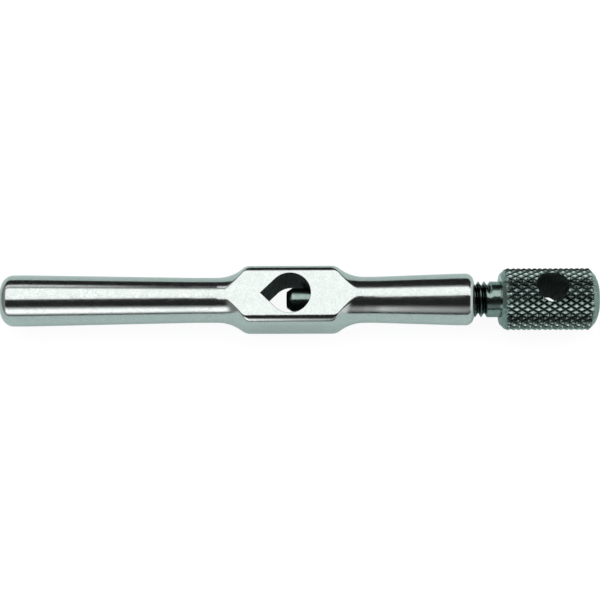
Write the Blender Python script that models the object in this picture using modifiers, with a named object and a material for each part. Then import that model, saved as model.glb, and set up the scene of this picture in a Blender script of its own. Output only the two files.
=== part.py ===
"""Small hand tap wrench: a one-piece steel bar with a teardrop tap hole, and a clamping screw with a knurled
knob. X runs along the handles towards the knob, and Z along the tap hole."""

from math import acos, asin, cos, pi, radians, sin, sqrt

import bmesh
import bpy
from mathutils import Vector

MM = 0.001

# One-piece body, lengths in millimetres. X is measured from the middle of the whole tool.
BODY_LEFT = -46.1
BODY_RIGHT = 26.9
HANDLE_END_R = 3.97
LEFT_WAIST_R = 3.475
RIGHT_WAIST_R = 3.545
LEFT_TAPER = (-41.9, -16.0)
RIGHT_TAPER = (12.0, 24.7)
LEFT_DOME_R = 8.0
LEFT_FILLET_R = 1.7
RIGHT_FILLET_R = 1.19

# Block that holds the tap, and the turned shoulders that run into it.
BLOCK_WIDTH = 9.37
BLOCK_THICKNESS = 7.40
BLOCK_EDGE_R = 1.23
LEFT_SHOULDER_X = -12.33
RIGHT_SHOULDER_X = 10.17
SHOULDER_CORNER_R = 5.58
SHOULDER_HOLLOW_R = 6.07
SHOULDER_CROWN_R = 3.33
SHOULDER_MARGIN = 0.9

# Teardrop hole for the tap's square.
TAP_HOLE_X = -1.09
TAP_HOLE_R = 3.15

# Clamping screw, number 12 by 28 threads an inch.
THREAD_MAJOR_R = 2.743
THREAD_DEPTH = 0.58
THREAD_PITCH = 25.4 / 28
THREAD_START = 6.6
THREAD_END = 29.2
SCREW_FRONT = 6.0
SCREW_FRONT_R = 2.0
NECK_R = 2.727
SHANK_END = 35.3
SOCKET_R = 1.45
SOCKET_END = 10.5
BORE_R = 2.85

# Smooth nose that presses on the tap.
NOSE_TIP = -1.70
NOSE_TIP_R = 1.26
NOSE_CHAMFER_X = -0.85
NOSE_R = 1.82
NOSE_SHOULDER = 5.7
NOSE_STEM_R = 1.2
NOSE_STEM_END = 10.2
NOSE_STEM_CHAMFER = 0.3

# Knurled knob.
KNOB_LEFT = 30.94
KNOB_RIGHT = 46.1
KNOB_R = 4.76
KNOB_FACE_R = 3.88
KNOB_CHAMFER = 0.90
KNOB_BACK_CHAMFER_X = 44.33
KNOB_BACK_FACE_X = 45.23
KNOB_BACK_FACE_R = 3.82
KNOB_DOME_R = 9.0
KNOB_DOME_EDGE_R = 3.24
KNOB_BORE_R = 2.83
KNOB_BORE_END = 35.6
CROSS_HOLE_X = 38.45
CROSS_HOLE_R = 2.45
CROSS_HOLE_LEAN = radians(9.3)

BODY_SEGMENTS = 32
KNOB_SEGMENTS = 28
SMALL_SEGMENTS = 32
THREAD_SEGMENTS = 24
THREAD_SPARE_ROWS = 5
ROUNDING_STEPS = 4
SHOULDER_STEPS = 5
TAP_HOLE_STEPS = 36
CUTTER_OVERSIZE = 4
MERGE_DISTANCE = 0.00001
SHARP_ANGLE = radians(30)


def clear_scene():
    for thing in list(bpy.data.objects):
        bpy.data.objects.remove(thing, do_unlink=True)
    for group in list(bpy.data.collections):
        bpy.data.collections.remove(group)


def collection(name):
    group = bpy.data.collections.new(name)
    bpy.context.scene.collection.children.link(group)
    return group


def metal(name, colour, roughness):
    finish = bpy.data.materials.new(name)
    finish.use_nodes = True
    shader = finish.node_tree.nodes["Principled BSDF"]
    shader.inputs["Base Color"].default_value = (*colour, 1.0)
    shader.inputs["Metallic"].default_value = 1.0
    shader.inputs["Roughness"].default_value = roughness
    return finish


def place(mesh, name, group, finish=None):
    """A new object from a mesh whose sizes are in metres."""
    thing = bpy.data.objects.new(name, mesh)
    group.objects.link(thing)
    if finish:
        mesh.materials.append(finish)
    return thing


def arc(centre_x, centre_r, radius, start, end, steps):
    """Points (x, r) on an arc, with angles measured from +X towards +r."""
    turns = [start + (end - start) * step / steps for step in range(steps + 1)]
    return [(centre_x + radius * cos(turn), centre_r + radius * sin(turn)) for turn in turns]


def turned(name, outline, segments, group, finish=None):
    """A turned piece about the X axis, from (x, r) points that run from its +X end to its -X end.
    It starts half a step round, so that a facet and not a corner faces up, down, front and back."""
    bm = bmesh.new()
    half_step = pi / segments
    points = [bm.verts.new(Vector((r * cos(half_step), r * sin(half_step), x)) * MM) for x, r in outline]
    for first, second in zip(points, points[1:]):
        bm.edges.new((first, second))
    mesh = bpy.data.meshes.new(name)
    bm.to_mesh(mesh)
    bm.free()
    thing = place(mesh, name, group, finish)
    thing.rotation_euler = (0.0, pi / 2, 0.0)
    spin = thing.modifiers.new("turning", "SCREW")
    spin.axis = "Z"
    spin.steps = segments
    spin.render_steps = segments
    spin.use_merge_vertices = True
    spin.merge_threshold = MERGE_DISTANCE
    spin.use_smooth_shade = True
    return thing


def cutter(thing):
    thing.hide_render = True
    thing.display_type = "WIRE"
    return thing


def cut(thing, tool):
    step = thing.modifiers.new(tool.name, "BOOLEAN")
    step.operation = "DIFFERENCE"
    step.solver = "EXACT"
    step.object = tool


def rod(name, radius, length, segments, group):
    """A plain cylinder along Z, centred on its origin."""
    bm = bmesh.new()
    bmesh.ops.create_cone(
        bm, cap_ends=True, segments=segments, radius1=radius * MM, radius2=radius * MM, depth=length * MM
    )
    mesh = bpy.data.meshes.new(name)
    bm.to_mesh(mesh)
    bm.free()
    return cutter(place(mesh, name, group))


def box(name, size, group):
    bm = bmesh.new()
    bmesh.ops.create_cube(bm, size=1.0)
    bmesh.ops.scale(bm, vec=Vector(size) * MM, verts=bm.verts)
    mesh = bpy.data.meshes.new(name)
    bm.to_mesh(mesh)
    bm.free()
    return cutter(place(mesh, name, group))


def shoulder(start_x, waist_r, direction):
    """Points from the waist up to the block's corner: a hollow arc, then a crown arc that ends level."""
    swing = acos(1 - (SHOULDER_CORNER_R - waist_r) / (SHOULDER_HOLLOW_R + SHOULDER_CROWN_R))
    crown_x = start_x + direction * (SHOULDER_HOLLOW_R + SHOULDER_CROWN_R) * sin(swing)
    hollow_centre_r = waist_r + SHOULDER_HOLLOW_R
    hollow = arc(0, hollow_centre_r, SHOULDER_HOLLOW_R, -pi / 2, swing - pi / 2, SHOULDER_STEPS)
    crown_centre_r = SHOULDER_CORNER_R - SHOULDER_CROWN_R
    crown = arc(0, crown_centre_r, SHOULDER_CROWN_R, pi / 2 - swing, pi / 2, SHOULDER_STEPS)
    rise = [(start_x + direction * x, r) for x, r in hollow]
    return rise + [(crown_x - direction * x, r) for x, r in crown[1:]]


def body_outline():
    right_fillet_x = BODY_RIGHT - RIGHT_FILLET_R
    right_fillet_r = HANDLE_END_R - RIGHT_FILLET_R
    right_end = arc(right_fillet_x, right_fillet_r, RIGHT_FILLET_R, 0, pi / 2, ROUNDING_STEPS)
    dome_x = BODY_LEFT + LEFT_DOME_R
    fillet_r = HANDLE_END_R - LEFT_FILLET_R
    reach = LEFT_DOME_R - LEFT_FILLET_R
    fillet_x = dome_x - sqrt(reach**2 - fillet_r**2)
    join = pi - asin(fillet_r / reach)
    left_fillet = arc(fillet_x, fillet_r, LEFT_FILLET_R, pi / 2, join, ROUNDING_STEPS)
    left_dome = arc(dome_x, 0, LEFT_DOME_R, join, pi, ROUNDING_STEPS)
    left_dome[-1] = (BODY_LEFT, 0)
    return (
        [(BODY_RIGHT, 0)]
        + right_end
        + [(RIGHT_TAPER[1], HANDLE_END_R), (RIGHT_TAPER[0], RIGHT_WAIST_R)]
        + shoulder(RIGHT_SHOULDER_X, RIGHT_WAIST_R, -1)
        + list(reversed(shoulder(LEFT_SHOULDER_X, LEFT_WAIST_R, 1)))
        + [(LEFT_TAPER[1], LEFT_WAIST_R), (LEFT_TAPER[0], HANDLE_END_R)]
        + left_fillet
        + left_dome[1:]
    )


def block_surround(group):
    """What is milled away round the block: a thick frame whose inside is the block's rounded section."""
    left = LEFT_SHOULDER_X + SHOULDER_MARGIN
    right = RIGHT_SHOULDER_X - SHOULDER_MARGIN
    section_size = (CUTTER_OVERSIZE * (right - left), BLOCK_WIDTH, BLOCK_THICKNESS)
    section = box("block_section", section_size, group)
    bm = bmesh.new()
    bm.from_mesh(section.data)
    long_edges = [edge for edge in bm.edges if abs(edge.verts[0].co.x - edge.verts[1].co.x) > MM]
    bmesh.ops.bevel(
        bm, geom=long_edges, offset=BLOCK_EDGE_R * MM, segments=ROUNDING_STEPS, profile=0.5, affect="EDGES"
    )
    bm.to_mesh(section.data)
    bm.free()
    surround_size = (right - left, CUTTER_OVERSIZE * BLOCK_WIDTH, CUTTER_OVERSIZE * BLOCK_THICKNESS)
    surround = box("block_surround", surround_size, group)
    for piece in (section, surround):
        piece.location.x = (left + right) / 2 * MM
    cut(surround, section)
    return surround


def teardrop(group):
    """The tap hole's cutter: a round hole run out into a square corner that points down the long handle."""
    curve = bpy.data.curves.new("tap_hole_outline", "CURVE")
    curve.dimensions = "2D"
    curve.fill_mode = "BOTH"
    curve.extrude = BLOCK_THICKNESS * MM
    outline = arc(0, 0, TAP_HOLE_R, -3 * pi / 4, 3 * pi / 4, TAP_HOLE_STEPS) + [(-TAP_HOLE_R * sqrt(2), 0)]
    spline = curve.splines.new("POLY")
    spline.points.add(len(outline) - 1)
    for point, (x, y) in zip(spline.points, outline):
        point.co = (x * MM, y * MM, 0.0, 1.0)
    spline.use_cyclic_u = True
    guide = place(curve, "tap_hole_guide", group)
    mesh = bpy.data.meshes.new_from_object(guide.evaluated_get(bpy.context.evaluated_depsgraph_get()))
    bpy.data.objects.remove(guide)
    bm = bmesh.new()
    bm.from_mesh(mesh)
    bmesh.ops.remove_doubles(bm, verts=bm.verts, dist=MERGE_DISTANCE)
    bmesh.ops.recalc_face_normals(bm, faces=bm.faces)
    bm.to_mesh(mesh)
    bm.free()
    hole = cutter(place(mesh, "tap_hole", group))
    hole.location.x = TAP_HOLE_X * MM
    return hole


def wrench_body(group, cutters):
    steel = metal("bright_steel", (0.66, 0.68, 0.66), 0.18)
    body = turned("wrench_body", body_outline(), BODY_SEGMENTS, group, steel)
    cut(body, block_surround(cutters))
    cut(body, teardrop(cutters))
    bore_length = BODY_RIGHT - TAP_HOLE_X + TAP_HOLE_R
    bore = rod("screw_bore", BORE_R, bore_length, SMALL_SEGMENTS, cutters)
    bore.rotation_euler.y = pi / 2
    bore.location.x = (TAP_HOLE_X + bore_length / 2) * MM
    cut(body, bore)
    return body


def thread_radius(x, turn):
    """Radius of the sharp V thread at a place along the screw and an angle, run out at both ends."""
    if x >= THREAD_END:
        return NECK_R
    phase = ((x - THREAD_START) / THREAD_PITCH - turn / (2 * pi)) % 1.0
    root_r = THREAD_MAJOR_R - THREAD_DEPTH
    radius = root_r + THREAD_DEPTH * abs(2 * phase - 1)
    lead_in = root_r + THREAD_DEPTH * (x - THREAD_START) / THREAD_PITCH
    run_out = NECK_R - (NECK_R - root_r) * (THREAD_END - x) / (THREAD_PITCH / 2)
    return max(min(radius, max(lead_in, root_r)), run_out)


def clamp_screw(group):
    """The threaded shaft. Its thread's rows follow the crest and the root, and stop flat at each end."""
    bm = bmesh.new()
    turns = [2 * pi * side / THREAD_SEGMENTS for side in range(THREAD_SEGMENTS)]

    def vertex(x, radius, turn):
        return bm.verts.new(Vector((x, radius * cos(turn), radius * sin(turn))) * MM)

    rows = int(2 * (THREAD_END - THREAD_START) / THREAD_PITCH) + THREAD_SPARE_ROWS
    columns = []
    for turn in turns + [2 * pi]:
        column = []
        for row in range(rows):
            x = THREAD_START + THREAD_PITCH * (row / 2 - 1 + turn / (2 * pi))
            x = min(max(x, THREAD_START), THREAD_END)
            column.append(vertex(x, thread_radius(x, turn), turn))
        columns.append(column)
    for near, far in zip(columns, columns[1:]):
        for row in range(rows - 1):
            bm.faces.new((near[row], far[row], far[row + 1], near[row + 1]))
    bmesh.ops.remove_doubles(bm, verts=bm.verts, dist=MERGE_DISTANCE)

    front = [(THREAD_START, THREAD_MAJOR_R - THREAD_DEPTH), (SCREW_FRONT, SCREW_FRONT_R)]
    socket = [(SCREW_FRONT, SOCKET_R), (SOCKET_END, SOCKET_R)]
    back = [(THREAD_END, NECK_R), (SHANK_END, NECK_R)]
    for outline in (front + socket, back):
        rings = [[vertex(x, radius, turn) for turn in turns] for x, radius in outline]
        for first, second in zip(rings, rings[1:]):
            for side in range(THREAD_SEGMENTS):
                after = (side + 1) % THREAD_SEGMENTS
                bm.faces.new((first[side], first[after], second[after], second[side]))
        bm.faces.new(rings[-1])
    bmesh.ops.remove_doubles(bm, verts=bm.verts, dist=MERGE_DISTANCE)
    bmesh.ops.recalc_face_normals(bm, faces=bm.faces)
    mesh = bpy.data.meshes.new("clamp_screw")
    bm.to_mesh(mesh)
    bm.free()
    mesh.shade_smooth()
    mesh.set_sharp_from_angle(angle=SHARP_ANGLE)
    return place(mesh, "clamp_screw", group, metal("black_steel_screw", (0.05, 0.055, 0.05), 0.35))


def nose_pin(group):
    outline = [
        (NOSE_STEM_END, 0),
        (NOSE_STEM_END, NOSE_STEM_R - NOSE_STEM_CHAMFER),
        (NOSE_STEM_END - NOSE_STEM_CHAMFER, NOSE_STEM_R),
        (NOSE_SHOULDER, NOSE_STEM_R),
        (NOSE_SHOULDER, NOSE_R),
        (NOSE_CHAMFER_X, NOSE_R),
        (NOSE_TIP, NOSE_TIP_R),
        (NOSE_TIP, 0),
    ]
    steel = metal("black_steel_nose", (0.06, 0.065, 0.06), 0.3)
    return turned("nose_pin", outline, SMALL_SEGMENTS, group, steel)


def knurled_knob(group, cutters):
    dome_x = KNOB_RIGHT - KNOB_DOME_R
    dome_edge = asin(KNOB_DOME_EDGE_R / KNOB_DOME_R)
    outline = arc(dome_x, 0, KNOB_DOME_R, 0, dome_edge, ROUNDING_STEPS) + [
        (KNOB_BACK_FACE_X, KNOB_BACK_FACE_R),
        (KNOB_BACK_CHAMFER_X, KNOB_R),
        (KNOB_LEFT + KNOB_CHAMFER, KNOB_R),
        (KNOB_LEFT, KNOB_FACE_R),
        (KNOB_LEFT, KNOB_BORE_R),
        (KNOB_BORE_END, KNOB_BORE_R),
        (KNOB_BORE_END, 0),
    ]
    steel = metal("black_steel_knob", (0.05, 0.06, 0.055), 0.4)
    knob = turned("knurled_knob", outline, KNOB_SEGMENTS, group, steel)
    hole = rod("cross_hole", CROSS_HOLE_R, CUTTER_OVERSIZE * KNOB_R, SMALL_SEGMENTS, cutters)
    hole.location.x = CROSS_HOLE_X * MM
    hole.rotation_euler.x = -CROSS_HOLE_LEAN
    cut(knob, hole)
    return knob


def joint_empty(name, group):
    mark = bpy.data.objects.new(name, None)
    mark.empty_display_size = KNOB_R * MM
    group.objects.link(mark)
    return mark


def main():
    clear_scene()
    tool = collection("tap_wrench")
    cutters = collection("tap_wrench_cutters")
    wrench_body(tool, cutters)
    travel = joint_empty("screw_travel", tool)
    turning = joint_empty("screw_turning", tool)
    turning.parent = travel
    nose_pin(tool).parent = travel
    clamp_screw(tool).parent = turning
    knurled_knob(tool, cutters).parent = turning


main()
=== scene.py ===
from math import acos, asin, cos, pi, radians, sin, sqrt

import bmesh
import bpy
from mathutils import Matrix, Vector


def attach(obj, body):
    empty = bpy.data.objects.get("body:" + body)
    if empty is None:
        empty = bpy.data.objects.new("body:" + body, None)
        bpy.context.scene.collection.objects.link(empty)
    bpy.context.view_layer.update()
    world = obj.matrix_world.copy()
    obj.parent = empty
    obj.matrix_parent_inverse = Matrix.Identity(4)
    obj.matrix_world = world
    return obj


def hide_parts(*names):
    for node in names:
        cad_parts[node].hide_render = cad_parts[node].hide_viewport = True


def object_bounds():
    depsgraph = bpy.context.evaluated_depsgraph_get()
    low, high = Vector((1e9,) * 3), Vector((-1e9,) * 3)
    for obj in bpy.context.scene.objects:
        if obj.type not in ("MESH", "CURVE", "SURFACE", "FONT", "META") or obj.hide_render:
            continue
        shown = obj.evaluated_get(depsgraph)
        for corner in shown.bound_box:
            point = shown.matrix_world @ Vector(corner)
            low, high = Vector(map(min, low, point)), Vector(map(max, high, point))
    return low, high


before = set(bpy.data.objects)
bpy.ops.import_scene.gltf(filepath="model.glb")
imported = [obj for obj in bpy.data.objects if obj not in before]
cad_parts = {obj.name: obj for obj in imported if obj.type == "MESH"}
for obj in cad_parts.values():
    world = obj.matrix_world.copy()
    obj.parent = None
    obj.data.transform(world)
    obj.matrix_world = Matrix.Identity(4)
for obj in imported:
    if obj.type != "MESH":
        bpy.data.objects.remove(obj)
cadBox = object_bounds()
mm = 0.001
weldGap = 0.000002  # points closer than this are one point
sharpAngle = radians(32)
grainSpread = (0.3, 0.7)  # nearly all of a grain's values lie between these


# One socket of a node, so that node maths reads as arithmetic.
class Wire:
    def __init__(self, nodes, socket):
        self.nodes = nodes
        self.socket = socket

    def __add__(self, other):
        return self.nodes.sums("ADD", self, other)

    def __sub__(self, other):
        return self.nodes.sums("SUBTRACT", self, other)

    def __rsub__(self, other):
        return self.nodes.sums("SUBTRACT", other, self)

    def __mul__(self, other):
        return self.nodes.sums("MULTIPLY", self, other)

    def __truediv__(self, other):
        return self.nodes.sums("DIVIDE", self, other)

    __radd__ = __add__
    __rmul__ = __mul__


class Nodes:
    def __init__(self, tree):
        self.tree = tree

    # Any node: its type, its settings, then the values or links of its sockets.
    def add(self, kind, settings=None, sockets=None, output=0):
        made = self.tree.nodes.new(kind)
        for name, value in (settings or {}).items():
            setattr(made, name, value)
        for name, value in (sockets or {}).items():
            if isinstance(value, Wire):
                self.tree.links.new(value.socket, made.inputs[name])
            else:
                made.inputs[name].default_value = value
        return Wire(self, made.outputs[output]) if len(made.outputs) else None

    def sums(self, operation, *values):
        return self.add("ShaderNodeMath", {"operation": operation}, dict(enumerate(values)))

    def smooth(self, value, low, high, atLow=0.0, atHigh=1.0):
        ends = {"From Min": low, "From Max": high, "To Min": atLow, "To Max": atHigh}
        kind = {"interpolation_type": "SMOOTHSTEP"}
        return self.add("ShaderNodeMapRange", kind, {"Value": value, **ends})

    def axes(self, vector):
        split = self.add("ShaderNodeSeparateXYZ", None, {"Vector": vector})
        return [Wire(self, split.socket.node.outputs[axis]) for axis in "XYZ"]


view = {
    "distance": 193.9,            # from the camera to the tool's axis, in millimetres
    "elevation": radians(72),
    "standsAt": 6.2,              # how far towards the knob the camera stands
    "looksAt": 0.35,
    "roll": radians(0.196),
    "lens": 75.63,
}


def makeCamera():
    away = view["distance"]
    eye = Vector((view["standsAt"], -away * cos(view["elevation"]), away * sin(view["elevation"])))
    forward = (Vector((view["looksAt"], 0, 0)) - eye).normalized()
    right = Vector((1, 0, 0))
    right = (right - right.dot(forward) * forward).normalized()
    turned = Matrix.Rotation(view["roll"], 3, forward)
    right = turned @ right
    up = right.cross(forward)
    camera = bpy.data.objects.new("camera", bpy.data.cameras.new("camera"))
    camera.data.lens = view["lens"]
    camera.data.clip_start = 1 * mm
    facing = Matrix((right, up, -forward)).transposed().to_4x4()
    camera.matrix_world = Matrix.Translation(eye * mm) @ facing
    bpy.context.scene.collection.objects.link(camera)
    bpy.context.scene.camera = camera


# Soft boxes round the tool. Heights are degrees from the front horizon (0) over the top (90) to the
# back (180). Sides are the sine of the angle towards +X.
studio = {
    "room": 0.025,
    "edge": 2.0,                  # degrees over which a box fades
    "sideEdge": 0.05,
    "top": {"low": 89, "slope": 52, "slopeEnds": (-0.2, 0.05), "high": 130, "power": 1.9},
    "topRim": {"high": 137, "share": 0.30},
    "back": {"low": 139, "high": 149, "side": -0.15, "power": 1.3},
    "front": {"low": (3, 20), "high": (25, 48), "side": -0.05, "power": 2.3, "dim": 0.20},
    "leftCard": {"ends": (-0.50, -0.75), "power": 0.30},
    "rightCard": {"ends": (0.60, 0.78), "power": 1.1},
    "backdrop": (0.98, 0.98, 0.98),
    "seenFloor": {"tint": (0.14, 0.14, 0.14), "glow": (0.92, 0.92, 0.92)},
    "litFloor": {"tint": (0.62, 0.72, 0.70), "glow": (0.24, 0.30, 0.29)},
    "floorSize": 3.0,
}


def makeBoxes():
    world = bpy.data.worlds.new("studio")
    bpy.context.scene.world = world
    world.use_nodes = True
    world.node_tree.nodes.clear()
    nodes = Nodes(world.node_tree)
    way = nodes.add("ShaderNodeTexCoord", None, None, "Generated")
    x, y, z = nodes.axes(way)
    height = nodes.sums("ARCTAN2", z, 0 - y) * (180 / pi)
    edge, sideEdge = studio["edge"], studio["sideEdge"]

    def rises(start):
        return nodes.smooth(height - start, -edge, edge)

    def falls(end):
        return nodes.smooth(height - end, -edge, edge, 1.0, 0.0)

    def leftOf(side):
        return nodes.smooth(x - side, -sideEdge, sideEdge, 1.0, 0.0)

    top, rim, back, front = (studio[box] for box in ("top", "topRim", "back", "front"))
    slopeX = nodes.sums("MINIMUM", x, top["slopeEnds"][1])
    slopeX = nodes.sums("MAXIMUM", slopeX, top["slopeEnds"][0])
    topBox = rises(slopeX * top["slope"] + top["low"])
    topBox = topBox * (falls(top["high"]) * (1 - rim["share"]) + falls(rim["high"]) * rim["share"])
    backBox = rises(back["low"]) * falls(back["high"]) * leftOf(back["side"])
    frontBox = nodes.smooth(height, *front["low"]) * nodes.smooth(height, *front["high"], 1.0, 0.0)
    frontBox = frontBox * (leftOf(front["side"]) * (1 - front["dim"]) + front["dim"])
    light = topBox * top["power"] + backBox * back["power"] + frontBox * front["power"]
    for card, way in ((studio["leftCard"], -1), (studio["rightCard"], 1)):
        covered = nodes.smooth(x * way, *(end * way for end in card["ends"]))
        light = light * (1 - covered) + covered * card["power"]
    boxes = nodes.add("ShaderNodeCombineXYZ", None, dict.fromkeys("XYZ", light + studio["room"]))
    seen = nodes.add("ShaderNodeLightPath", None, None, "Is Camera Ray")
    mixed = tint(nodes, seen, boxes, studio["backdrop"])
    ground = nodes.add("ShaderNodeBackground", None, {"Color": mixed, "Strength": 1.0})
    nodes.add("ShaderNodeOutputWorld", None, {"Surface": ground})


# The floor is lit paper: the camera sees it almost white, and the steel sees it darker and greener.
def makeFloor():
    half = studio["floorSize"] / 2
    level = cadBox[0].z
    mesh = bpy.data.meshes.new("floor")
    corners = [(-half, -half, level), (half, -half, level), (half, half, level), (-half, half, level)]
    mesh.from_pydata(corners, [], [(0, 1, 2, 3)])
    floor = bpy.data.objects.new("floor", mesh)
    bpy.context.scene.collection.objects.link(floor)
    finish, nodes = newFinish("floorFinish")
    sides = [
        nodes.add("ShaderNodeBsdfPrincipled", None, {
            "Base Color": (*look["tint"], 1),
            "Roughness": 0.9,
            "Specular IOR Level": 0.0,
            "Emission Color": (*look["glow"], 1),
            "Emission Strength": 1.0,
        })
        for look in (studio["litFloor"], studio["seenFloor"])
    ]
    seen = nodes.add("ShaderNodeLightPath", None, None, "Is Camera Ray")
    paper = nodes.add("ShaderNodeMixShader", None, {0: seen, 1: sides[0], 2: sides[1]})
    nodes.add("ShaderNodeOutputMaterial", None, {"Surface": paper})
    mesh.materials.append(finish)


def newFinish(name):
    finish = bpy.data.materials.new(name)
    finish.use_nodes = True
    finish.node_tree.nodes.clear()
    return finish, Nodes(finish.node_tree)


def finishShader(nodes, sockets):
    shader = nodes.add("ShaderNodeBsdfPrincipled", None, sockets)
    nodes.add("ShaderNodeOutputMaterial", None, {"Surface": shader})


def inMillimetres(nodes, stretch=(1, 1, 1)):
    place = nodes.add("ShaderNodeTexCoord", None, None, "Object")
    scale = [side / mm for side in stretch]
    return nodes.add("ShaderNodeMapping", None, {"Vector": place, "Scale": scale})


def grain(nodes, place, size, detail=3.0, roughness=0.55):
    return nodes.add("ShaderNodeTexNoise", None, {
        "Vector": place,
        "Scale": 1 / size,
        "Detail": detail,
        "Roughness": roughness,
    })


def tint(nodes, factor, first, second):  # each colour is three numbers or a Wire
    first, second = (colour if isinstance(colour, Wire) else (*colour, 1) for colour in (first, second))
    return nodes.add("ShaderNodeMix", {"data_type": "RGBA"}, {0: factor, 6: first, 7: second}, 2)


brightSteel = {
    "lightTint": (0.500, 0.532, 0.517),
    "darkTint": (0.410, 0.445, 0.430),
    "cloudSize": 1.1,        # millimetres across one cloud in the polish
    "speckSize": 0.16,
    "cloudShare": 0.2,       # the rest of the wear is specks
    "wearEnds": (0.38, 0.62),
    "roughness": (0.09, 0.20),
    "turningPitch": 0.09,    # tool marks left under the polish
    "turningStretch": 0.12,
    "bumpStrength": 0.35,
    "bumpDepth": 0.0006,
}


def brightSteelFinish():
    look = brightSteel
    finish, nodes = newFinish("brightSteelFinish")
    place = inMillimetres(nodes)
    clouds = grain(nodes, place, look["cloudSize"])
    specks = grain(nodes, place, look["speckSize"], 2.0, 0.6)
    turned = (1 / look["turningPitch"], look["turningStretch"], look["turningStretch"])
    marks = grain(nodes, inMillimetres(nodes, turned), 1.0, 2.0)
    wearAndPaintedLight = clouds * look["cloudShare"] + specks * (1 - look["cloudShare"])
    wearAndPaintedLight = nodes.smooth(wearAndPaintedLight, *look["wearEnds"])
    finishShader(nodes, {
        "Base Color": tint(nodes, wearAndPaintedLight, look["lightTint"], look["darkTint"]),
        "Metallic": 1.0,
        "Roughness": nodes.smooth(wearAndPaintedLight, 0.0, 1.0, *look["roughness"]),
        "Normal": nodes.add("ShaderNodeBump", None, {
            "Height": marks * 0.5 + specks * 0.5,
            "Strength": look["bumpStrength"],
            "Distance": look["bumpDepth"] * mm,
        }),
    })
    return finish


# painted shade: near-black colours for the walls inside the holes, with faint streaks
paintedHoleShade = {
    "darkTint": (0.012, 0.018, 0.017),
    "lightTint": (0.045, 0.060, 0.057),
    "streakWidth": 0.35,
    "streakStretch": 0.15,
    "roughness": 0.6,
    "specular": 0.10,
}


def paintedHoleShadeFinish(name):  # the inside of a drilled or broached hole: unpolished, and painted near black as shade in the recess
    look = paintedHoleShade
    finish, nodes = newFinish(name)
    place = inMillimetres(nodes, (1, 1, look["streakStretch"]))
    streaks = nodes.smooth(grain(nodes, place, look["streakWidth"]), *grainSpread)
    finishShader(nodes, {
        "Base Color": tint(nodes, streaks, look["darkTint"], look["lightTint"]),
        "Roughness": look["roughness"],
        "Specular IOR Level": look["specular"],
    })
    return finish


blackOxide = {
    "lightTint": (0.230, 0.300, 0.275),
    "darkTint": (0.130, 0.185, 0.170),
    "patchSize": 0.9,
    "speckSize": 0.15,
    "roughness": (0.12, 0.24),
    "knobRoughness": (0.14, 0.26),
    "bumpStrength": 0.4,
    "bumpDepth": 0.004,
}


def blackOxideFinish(name, roughness, wearAndPaintedLight=None):  # the last argument, if given, changes the finish's colour: painted shade in grooves, and on the knob a painted highlight on the tips
    look = blackOxide
    finish, nodes = newFinish(name)
    place = inMillimetres(nodes)
    patches = grain(nodes, place, look["patchSize"])
    specks = grain(nodes, place, look["speckSize"], 3.0, 0.65)
    mask = nodes.smooth(patches * 0.5 + specks * 0.5, *grainSpread)
    colour = tint(nodes, mask, look["darkTint"], look["lightTint"])
    if wearAndPaintedLight:
        colour = wearAndPaintedLight(nodes, colour)
    finishShader(nodes, {
        "Base Color": colour,
        "Metallic": 1.0,
        "Roughness": nodes.smooth(specks, *grainSpread, *roughness),
        "Normal": nodes.add("ShaderNodeBump", None, {
            "Height": specks,
            "Strength": look["bumpStrength"],
            "Distance": look["bumpDepth"] * mm,
        }),
    })
    return finish


# grooveEnds and the tips' ends are millimetres from the axis. Painted shade: grooves are black at the
# first of grooveEnds and plain at the second; on the knob the diamonds' tips get a painted highlight past
# the tips' ends.
threadGrooveShade = {
    "grooveShadeTint": (0.020, 0.030, 0.028),
    "grooveEnds": (2.30, 2.72),
}

# painted shade in the knurl's grooves and a painted highlight on the diamonds' tips
knurlShadeAndHighlight = {
    "grooveShadeTint": (0.010, 0.016, 0.015),
    "grooveEnds": (4.42, 4.64),
    "tipHighlightTint": (0.360, 0.440, 0.410),
    "tipHighlightEnds": (4.56, 4.74),
    "knurlStart": (31.6, 32.0),   # along the axis; outside these the knob is plain
    "knurlEnd": (44.0, 44.4),
}


def alongAndOut(nodes):  # how far along the axis and how far from it, in millimetres
    x, y, z = nodes.axes(inMillimetres(nodes))
    return x, nodes.sums("SQRT", y * y + z * z)


# painted shade: the thread's grooves turn near black towards the root
def paintedThreadGrooveShade(nodes, colour):
    height = nodes.smooth(alongAndOut(nodes)[1], *threadGrooveShade["grooveEnds"])
    return tint(nodes, height, threadGrooveShade["grooveShadeTint"], colour)


def paintedKnurlShadeAndHighlight(nodes, colour):  # painted shade, black in the grooves, and a painted highlight, brighter on the diamonds' tips
    x, reach = alongAndOut(nodes)
    wearAndPaintedLight = knurlShadeAndHighlight
    plain = nodes.smooth(x, *wearAndPaintedLight["knurlEnd"]) + nodes.smooth(x, *wearAndPaintedLight["knurlStart"], 1.0, 0.0)
    height = nodes.sums("MINIMUM", nodes.smooth(reach, *wearAndPaintedLight["grooveEnds"]) + plain, 1.0)
    tips = nodes.smooth(reach, *wearAndPaintedLight["tipHighlightEnds"]) * (1 - plain)
    return tint(nodes, tips, tint(nodes, height, wearAndPaintedLight["grooveShadeTint"], colour), wearAndPaintedLight["tipHighlightTint"])


def arcPoints(centreX, centreR, radius, start, end, steps):
    turns = [start + (end - start) * step / steps for step in range(steps + 1)]
    return [(centreX + radius * cos(turn), centreR + radius * sin(turn)) for turn in turns]


def between(first, last, spacing):  # evenly spaced points from first to last, both left out
    steps = max(1, round(abs(last[0] - first[0]) / spacing))
    return [tuple(Vector(first).lerp(Vector(last), step / steps)) for step in range(1, steps)]


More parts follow.
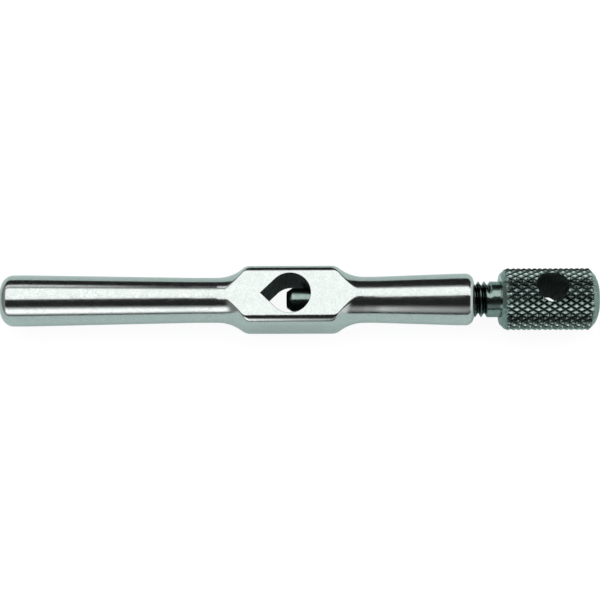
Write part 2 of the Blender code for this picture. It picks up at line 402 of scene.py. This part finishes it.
def turnedRings(bm, outline, turns):  # rings of points about X, from (x, r) points; r 0 is one point
    rings = []
    for x, r in outline:
        if r == 0:
            rings.append([bm.verts.new(Vector((x, 0, 0)) * mm)] * len(turns))
        else:
            places = [Vector((x, r * cos(turn), r * sin(turn))) * mm for turn in turns]
            rings.append([bm.verts.new(place) for place in places])
    return rings


def skin(bm, rings):  # faces between neighbouring rings, with triangles at a single point
    for near, far in zip(rings, rings[1:]):
        for side in range(len(near)):
            after = (side + 1) % len(near)
            corners = list(dict.fromkeys((near[side], near[after], far[after], far[side])))
            if len(corners) > 2:
                bm.faces.new(corners)


def finishMesh(name, bm, finish):
    bmesh.ops.remove_doubles(bm, verts=bm.verts, dist=weldGap)
    bmesh.ops.recalc_face_normals(bm, faces=bm.faces)
    mesh = bpy.data.meshes.new(name)
    bm.to_mesh(mesh)
    bm.free()
    mesh.materials.clear()
    mesh.materials.append(finish)
    piece = bpy.data.objects.new(name, mesh)
    bpy.context.scene.collection.objects.link(piece)
    return piece


def cutAway(piece, tools):
    for tool in tools:
        step = piece.modifiers.new(tool.name, "BOOLEAN")
        step.operation = "DIFFERENCE"
        step.solver = "EXACT"
        step.material_mode = "TRANSFER"
        step.object = tool
    graph = bpy.context.evaluated_depsgraph_get()
    mesh = bpy.data.meshes.new_from_object(piece.evaluated_get(graph))
    mesh.name = piece.name
    piece.modifiers.clear()
    piece.data = mesh
    for tool in tools:
        bpy.data.objects.remove(tool)


def shadeSmooth(piece):
    piece.data.shade_smooth()
    piece.data.set_sharp_from_angle(angle=sharpAngle)


def roundRod(name, radius, start, end, sides, finish):
    bm = bmesh.new()
    turns = [2 * pi * side / sides for side in range(sides)]
    skin(bm, turnedRings(bm, [(start, 0), (start, radius), (end, radius), (end, 0)], turns))
    return finishMesh(name, bm, finish)


def nodeTree(name, inputs):
    tree = bpy.data.node_groups.new(name, "GeometryNodeTree")
    tree.interface.new_socket("Geometry", in_out="OUTPUT", socket_type="NodeSocketGeometry")
    for label, kind in inputs.items():
        tree.interface.new_socket(label, in_out="INPUT", socket_type="NodeSocket" + kind)
    nodes = Nodes(tree)
    entry = nodes.add("NodeGroupInput")
    wires = {label: Wire(nodes, entry.socket.node.outputs[label]) for label in inputs}
    return tree, nodes, wires


def endTree(nodes, geometry, finish):
    whole = nodes.add("GeometryNodeRealizeInstances", None, {"Geometry": geometry})
    painted = nodes.add("GeometryNodeSetMaterial", None, {"Geometry": whole, "Material": finish})
    nodes.add("NodeGroupOutput", None, {"Geometry": painted})


def growMesh(name, tree, values):  # runs a node tree and gives the plain mesh that comes out
    holder = bpy.data.objects.new(name, bpy.data.meshes.new(name))
    bpy.context.scene.collection.objects.link(holder)
    grower = holder.modifiers.new(name, "NODES")
    grower.node_group = tree
    for item in tree.interface.items_tree:
        if item.in_out == "INPUT":
            grower[item.identifier] = values[item.name]
    graph = bpy.context.evaluated_depsgraph_get()
    mesh = bpy.data.meshes.new_from_object(holder.evaluated_get(graph))
    bpy.data.objects.remove(holder)
    return mesh


# A grid rolled round the X axis, rows along it and columns round it; gives each point's row and
# column. The quarter added before FLOOR keeps a whole number from slipping to the one below.
def rollGrid(nodes, rows, columns):
    sockets = {"Vertices X": columns, "Vertices Y": rows}
    grid = nodes.add("GeometryNodeMeshGrid", None, sockets, "Mesh")
    index = nodes.add("GeometryNodeInputIndex")
    column = nodes.sums("FLOOR", (index + 0.25) / rows)
    return grid, index - column * rows, column


def setRound(nodes, grid, x, radius, turn):
    point = nodes.add("ShaderNodeCombineXYZ", None, {
        "X": x * mm,
        "Y": radius * nodes.sums("COSINE", turn) * mm,
        "Z": radius * nodes.sums("SINE", turn) * mm,
    })
    return nodes.add("GeometryNodeSetPosition", None, {"Geometry": grid, "Position": point})


body = {
    "left": -46.1,
    "right": 26.9,
    "handleEnd": 3.97,
    "leftWaist": 3.475,
    "rightWaist": 3.545,
    "leftTaper": (-41.9, -16.0),
    "rightTaper": (12.0, 24.7),
    "leftDome": 8.0,
    "leftFillet": 1.7,
    "rightFillet": 1.19,
    "blockWidth": 9.37,
    "blockThickness": 7.40,
    "blockEdge": 1.42,
    "leftShoulder": -12.33,
    "rightShoulder": 10.17,
    "shoulderCorner": 5.58,
    "shoulderHollow": 6.07,
    "shoulderCrown": 3.33,
    "edgeSoftness": 0.14,     # how far the polish rounds the edges between flats and shoulders
    "flatEnds": (-11.2, 9.2),  # past these the flats let go of the handles
    "letGo": 1.0,
    "holeX": -1.09,
    "holeR": 3.15,
    "holeRimBevel": 0.06,
    "bore": 2.85,
    "sides": 240,
    "hollowSteps": 30,
    "crownSteps": 18,
    "roundSteps": 14,
    "handleSpacing": 0.5,    # millimetres between rings on the straight stretches
    "taperSpacing": 1.0,
    "holeSteps": 90,
    "boreSides": 96,
}


def shoulderPoints(start, waist, direction):
    hollow, crown = body["shoulderHollow"], body["shoulderCrown"]
    swing = acos(1 - (body["shoulderCorner"] - waist) / (hollow + crown))
    top = start + direction * (hollow + crown) * sin(swing)
    rise = arcPoints(0, waist + hollow, hollow, -pi / 2, swing - pi / 2, body["hollowSteps"])
    bendR = body["shoulderCorner"] - crown
    bend = arcPoints(0, bendR, crown, pi / 2 - swing, pi / 2, body["crownSteps"])
    points = [(start + direction * x, r) for x, r in rise]
    return points + [(top - direction * x, r) for x, r in bend[1:]]


def bodyOutline():
    end, fillet = body["handleEnd"], body["leftFillet"]
    steps, spacing, taperSpacing = body["roundSteps"], body["handleSpacing"], body["taperSpacing"]
    domeX = body["left"] + body["leftDome"]
    reach = body["leftDome"] - fillet
    filletX = domeX - sqrt(reach**2 - (end - fillet) ** 2)
    join = pi - asin((end - fillet) / reach)
    dome = arcPoints(domeX, 0, body["leftDome"], pi, join, steps)
    dome[0] = (body["left"], 0)
    points = dome + arcPoints(filletX, end - fillet, fillet, join, pi / 2, steps)[1:]
    taper = [(body["leftTaper"][0], end), (body["leftTaper"][1], body["leftWaist"])]
    points += between(points[-1], taper[0], spacing) + [taper[0]]
    points += between(*taper, taperSpacing) + [taper[1]]
    left = shoulderPoints(body["leftShoulder"], body["leftWaist"], 1)
    points += between(points[-1], left[0], spacing) + left
    right = shoulderPoints(body["rightShoulder"], body["rightWaist"], -1)[::-1]
    points += between(left[-1], right[0], spacing) + right
    taper = [(body["rightTaper"][0], body["rightWaist"]), (body["rightTaper"][1], end)]
    points += between(points[-1], taper[0], spacing) + [taper[0]]
    points += between(*taper, taperSpacing) + [taper[1]]
    fillet = body["rightFillet"]
    points += arcPoints(body["right"] - fillet, end - fillet, fillet, pi / 2, 0, steps)
    return points + [(body["right"], 0)]


def blockRadius(turn):  # distance from the axis to the block's rounded section
    y, z = abs(cos(turn)), abs(sin(turn))
    edge = body["blockEdge"]
    cornerY, cornerZ = body["blockWidth"] / 2 - edge, body["blockThickness"] / 2 - edge
    side = body["blockWidth"] / 2 / max(y, 1e-9)
    if side * z <= cornerZ:
        return side
    top = body["blockThickness"] / 2 / max(z, 1e-9)
    if top * y <= cornerY:
        return top
    along = cornerY * y + cornerZ * z
    return along + sqrt(along**2 - cornerY**2 - cornerZ**2 + edge**2)


def softMin(first, second, softness):
    overlap = max(softness - abs(first - second), 0) / softness
    return min(first, second) - overlap**2 * softness / 4


def easing(value):
    value = min(max(value, 0), 1)
    return value * value * (3 - 2 * value)


def tapHole(finish):  # the teardrop cutter, flared at both ends to break the rim's edge
    half, bevel = body["blockThickness"] / 2, body["holeRimBevel"]
    levels = [(-half - bevel, 2 * bevel), (-half + bevel, 0)]
    levels += [(half - bevel, 0), (half + bevel, 2 * bevel)]
    bm = bmesh.new()
    rings = []
    for z, grown in levels:
        radius = body["holeR"] + grown
        outline = arcPoints(0, 0, radius, -0.75 * pi, 0.75 * pi, body["holeSteps"])
        outline.append((-radius * sqrt(2), 0))
        rings.append([bm.verts.new(Vector((body["holeX"] + x, y, z)) * mm) for x, y in outline])
    skin(bm, rings)
    bm.faces.new(rings[0])
    bm.faces.new(rings[-1])
    return finishMesh("tapHole", bm, finish)


def wrenchBody():
    finish = brightSteelFinish()
    turns = [2 * pi * side / body["sides"] for side in range(body["sides"])]
    limits = [blockRadius(turn) for turn in turns]
    leftEnd, rightEnd = body["flatEnds"]
    bm = bmesh.new()
    outline = bodyOutline()
    rings = turnedRings(bm, outline, turns)
    for (x, r), ring in zip(outline[1:-1], rings[1:-1]):
        past = max(leftEnd - x, x - rightEnd)
        if past > body["letGo"]:
            continue
        slack = easing(past / body["letGo"]) * body["edgeSoftness"] * 2
        for point, turn, limit in zip(ring, turns, limits):
            radius = softMin(r, limit + slack, body["edgeSoftness"]) * mm
            point.co = (x * mm, radius * cos(turn), radius * sin(turn))
    skin(bm, rings)
    piece = finishMesh("wrenchBody", bm, finish)
    # painted shade: the walls of the tap hole and the bore are painted near black
    inside = paintedHoleShadeFinish("bodyHoleShadeFinish")
    boreStart, boreEnd = body["holeX"] + 0.5, body["right"] + 1  # from inside the tap hole to past the end
    bore = roundRod("bore", body["bore"], boreStart, boreEnd, body["boreSides"], inside)
    cutAway(piece, [tapHole(inside), bore])
    shadeSmooth(piece)
    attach(piece, "handle")
    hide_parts("wrench_body")
    print("wrench body", len(piece.data.polygons), "faces")


screw = {
    "crest": 2.743,
    "depth": 0.58,
    "pitch": 25.4 / 28,
    "crestFlat": 0.06,       # shares of the pitch
    "rootFlat": 0.10,
    "crestX": 28.54,         # where a crest crosses firstTurn
    "firstTurn": radians(18),
    "threadFrom": 6.6,
    "runOutEnd": 0.26,       # turns past firstTurn at which the last groove is gone
    "runOutLength": 0.20,
    "shankEnd": 35.3,
    "front": 6.0,
    "frontR": 2.0,
    "socket": 1.45,
    "socketEnd": 10.5,
    "sides": 120,
}

nose = {
    "tip": -1.70,
    "tipR": 1.26,
    "chamferX": -0.85,
    "radius": 1.82,
    "edge": 0.08,
    "shoulder": 5.7,
    "stem": 1.2,
    "stemEnd": 10.2,
    "stemChamfer": 0.3,
    "sides": 120,
}


def threadTree(finish):
    kinds = {"Rows": "Int", "Columns": "Int", "First Cycle": "Int"}
    for label in ("Crest", "Depth", "Pitch", "Crest Flat", "Root Flat", "Crest X", "First Turn"):
        kinds[label] = "Float"
    for label in ("Start X", "End X", "Run Out End", "Run Out Length"):
        kinds[label] = "Float"
    tree, nodes, value = nodeTree("screwThread", kinds)
    grid, row, column = rollGrid(nodes, value["Rows"], value["Columns"])
    share = column / (value["Columns"] - 1)
    turn = value["First Turn"] + share * 2 * pi
    cycle = nodes.sums("FLOOR", (row + 0.25) / 4)
    step = row - cycle * 4
    isRoot = nodes.sums("FLOOR", (step + 0.25) / 2)
    side = step - isRoot * 2 - 0.5
    flat = value["Crest Flat"] + (value["Root Flat"] - value["Crest Flat"]) * isRoot
    groove = cycle + value["First Cycle"]
    along = groove + isRoot * 0.5 + side * flat + share
    x = nodes.sums("MINIMUM", value["Crest X"] + value["Pitch"] * along, value["End X"])
    x = nodes.sums("MAXIMUM", x, value["Start X"])
    runOut = value["Run Out End"]
    left = nodes.smooth(groove + share, runOut - value["Run Out Length"], runOut, 1.0, 0.0)
    radius = value["Crest"] - value["Depth"] * isRoot * left
    leadIn = value["Crest"] - value["Depth"] + value["Depth"] * (x - value["Start X"]) / value["Pitch"]
    radius = nodes.sums("MINIMUM", radius, leadIn)
    endTree(nodes, setRound(nodes, grid, x, radius, turn), finish)
    return tree


def clampScrew():
    # the thread gets painted shade in its grooves
    finish = blackOxideFinish("blackScrewGrooveShadeFinish", blackOxide["roughness"], paintedThreadGrooveShade)
    cyclesBefore = int((screw["crestX"] - screw["threadFrom"]) / screw["pitch"]) + 3
    cyclesAfter = int((screw["shankEnd"] - screw["crestX"]) / screw["pitch"]) + 3
    mesh = growMesh("clampScrew", threadTree(finish), {
        "Rows": 4 * (cyclesBefore + cyclesAfter),
        "Columns": screw["sides"] + 1,
        "First Cycle": -cyclesBefore,
        "Crest": screw["crest"],
        "Depth": screw["depth"],
        "Pitch": screw["pitch"],
        "Crest Flat": screw["crestFlat"],
        "Root Flat": screw["rootFlat"],
        "Crest X": screw["crestX"],
        "First Turn": screw["firstTurn"],
        "Start X": screw["threadFrom"],
        "End X": screw["shankEnd"],
        "Run Out End": screw["runOutEnd"],
        "Run Out Length": screw["runOutLength"],
    })
    bm = bmesh.new()
    bm.from_mesh(mesh)
    turns = [screw["firstTurn"] + 2 * pi * side / screw["sides"] for side in range(screw["sides"])]
    root = screw["crest"] - screw["depth"]
    front = [(screw["threadFrom"], root), (screw["front"], screw["frontR"])]
    front.append((screw["front"], screw["socket"]))
    socket = [(screw["socketEnd"], screw["socket"]), (screw["socketEnd"], 0)]
    skin(bm, turnedRings(bm, front + socket, turns))
    skin(bm, turnedRings(bm, [(screw["shankEnd"], screw["crest"]), (screw["shankEnd"], 0)], turns))
    piece = finishMesh("clampScrew", bm, finish)
    shadeSmooth(piece)
    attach(piece, "screw")
    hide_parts("clamp_screw")
    print("clamp screw", len(piece.data.polygons), "faces")


def nosePin():
    edge = nose["edge"]
    outline = [
        (nose["tip"], 0),
        (nose["tip"], nose["tipR"] - edge),
        (nose["tip"] + edge * 0.6, nose["tipR"] + edge * 0.3),
        (nose["chamferX"] - edge * 0.6, nose["radius"] - edge * 0.4),
        (nose["chamferX"] + edge, nose["radius"]),
        (nose["shoulder"], nose["radius"]),
        (nose["shoulder"], nose["stem"]),
        (nose["stemEnd"] - nose["stemChamfer"], nose["stem"]),
        (nose["stemEnd"], nose["stem"] - nose["stemChamfer"]),
        (nose["stemEnd"], 0),
    ]
    turns = [2 * pi * side / nose["sides"] for side in range(nose["sides"])]
    bm = bmesh.new()
    skin(bm, turnedRings(bm, outline, turns))
    finish = blackOxideFinish("blackNoseFinish", blackOxide["roughness"])
    piece = finishMesh("nosePin", bm, finish)
    shadeSmooth(piece)
    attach(piece, "nose")
    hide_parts("nose_pin")
    print("nose pin", len(piece.data.polygons), "faces")


knob = {
    "left": 30.94,
    "right": 46.1,
    "radius": 4.76,
    "faceR": 3.88,
    "chamfer": 0.90,
    "backChamferX": 44.33,
    "backFaceX": 45.23,
    "backFaceR": 3.82,
    "dome": 9.0,
    "domeEdge": 3.24,
    "domeGroove": (45.02, 3.52),
    "bore": 2.83,
    "boreEnd": 35.6,
    "crossHoleX": 38.45,
    "crossHoleR": 2.45,
    "crossHoleLean": radians(11.0),
    "starts": 28,
    "diamondLength": 1.61,
    "grooveDepth": 0.36,
    "grooveWidth": 0.48,     # half width of a groove, as a share of the groove spacing
    "steps": 5,              # grid steps to half a diamond
    "overlap": 0.02,         # how far below the grooves the plain ends begin
    "domeSteps": 16,
    "holeSides": 96,
}


def knurlTree(finish):
    kinds = {"Rows": "Int", "Columns": "Int", "Starts": "Int"}
    for label in ("Diamond Length", "Radius", "Depth", "Groove Width", "Start X", "End X"):
        kinds[label] = "Float"
    for label in ("Left Chamfer X", "Left Slope", "Right Chamfer X", "Right Slope"):
        kinds[label] = "Float"
    tree, nodes, value = nodeTree("diamondKnurl", kinds)
    grid, row, column = rollGrid(nodes, value["Rows"], value["Columns"])
    turn = column / (value["Columns"] - 1) * 2 * pi
    x = value["Start X"] + (value["End X"] - value["Start X"]) * row / (value["Rows"] - 1)
    around = turn / (2 * pi) * value["Starts"]
    along = x / value["Diamond Length"]
    depth = None
    for phase in (around + along, around - along):
        offCentre = nodes.sums("ABSOLUTE", phase - nodes.sums("ROUND", phase))
        cut = nodes.sums("MAXIMUM", 1 - offCentre / value["Groove Width"], 0.0)
        depth = nodes.sums("MAXIMUM", depth, cut) if depth else cut
    radius = value["Radius"] - depth * value["Depth"]
    leftCone = value["Radius"] - (value["Left Chamfer X"] - x) * value["Left Slope"]
    rightCone = value["Radius"] - (x - value["Right Chamfer X"]) * value["Right Slope"]
    radius = nodes.sums("MINIMUM", radius, nodes.sums("MINIMUM", leftCone, rightCone))
    rolled = setRound(nodes, grid, x, radius, turn)
    split = nodes.add("GeometryNodeTriangulate", {"quad_method": "SHORTEST_DIAGONAL"}, {"Mesh": rolled})
    endTree(nodes, split, finish)
    return tree


def knurledKnob():
    # the knurling gets painted shade in its grooves and a painted highlight on its tips
    finish = blackOxideFinish("blackKnobShadeHighlightFinish", blackOxide["knobRoughness"], paintedKnurlShadeAndHighlight)
    radius, deep = knob["radius"], knob["grooveDepth"] + knob["overlap"]
    leftX = knob["left"] + knob["chamfer"]
    leftSlope = (radius - knob["faceR"]) / knob["chamfer"]
    rightX = knob["backChamferX"]
    rightSlope = (radius - knob["backFaceR"]) / (knob["backFaceX"] - rightX)
    startX, endX = leftX - deep / leftSlope, rightX + deep / rightSlope
    columns = 2 * knob["starts"] * knob["steps"]
    rows = round((endX - startX) / knob["diamondLength"] * 2 * knob["steps"]) + 1
    mesh = growMesh("knurledKnob", knurlTree(finish), {
        "Rows": rows,
        "Columns": columns + 1,
        "Starts": knob["starts"],
        "Diamond Length": knob["diamondLength"],
        "Radius": radius,
        "Depth": knob["grooveDepth"],
        "Groove Width": knob["grooveWidth"],
        "Start X": startX,
        "End X": endX,
        "Left Chamfer X": leftX,
        "Left Slope": leftSlope,
        "Right Chamfer X": rightX,
        "Right Slope": rightSlope,
    })
    bm = bmesh.new()
    bm.from_mesh(mesh)
    turns = [2 * pi * side / columns for side in range(columns)]
    domeX = knob["right"] - knob["dome"]
    domeStart = asin(knob["domeEdge"] / knob["dome"])
    dome = arcPoints(domeX, 0, knob["dome"], domeStart, 0, knob["domeSteps"])
    dome[-1] = (knob["right"], 0)
    back = [(endX, radius - deep), (knob["backFaceX"], knob["backFaceR"]), knob["domeGroove"]]
    front = [(startX, radius - deep), (knob["left"], knob["faceR"]), (knob["left"], knob["bore"])]
    bore = [(knob["boreEnd"], knob["bore"]), (knob["boreEnd"], 0)]
    skin(bm, turnedRings(bm, back + dome, turns))
    skin(bm, turnedRings(bm, front + bore, turns))
    piece = finishMesh("knurledKnob", bm, finish)
    # painted shade: the cross hole's wall is painted near black
    inside = paintedHoleShadeFinish("crossHoleShadeFinish")
    reach = 2 * radius
    hole = roundRod("crossHole", knob["crossHoleR"], -reach, reach, knob["holeSides"], inside)
    upright = Matrix.Rotation(-knob["crossHoleLean"], 4, "X") @ Matrix.Rotation(-pi / 2, 4, "Y")
    hole.data.transform(Matrix.Translation((knob["crossHoleX"] * mm, 0, 0)) @ upright)
    cutAway(piece, [hole])
    shadeSmooth(piece)
    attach(piece, "screw")
    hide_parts("knurled_knob")
    print("knurled knob", len(piece.data.polygons), "faces")


makeCamera()
makeBoxes()
makeFloor()
bpy.context.scene.view_settings.view_transform = "Standard"
print("camera, light and floor")
wrenchBody()
nosePin()
clampScrew()
knurledKnob()
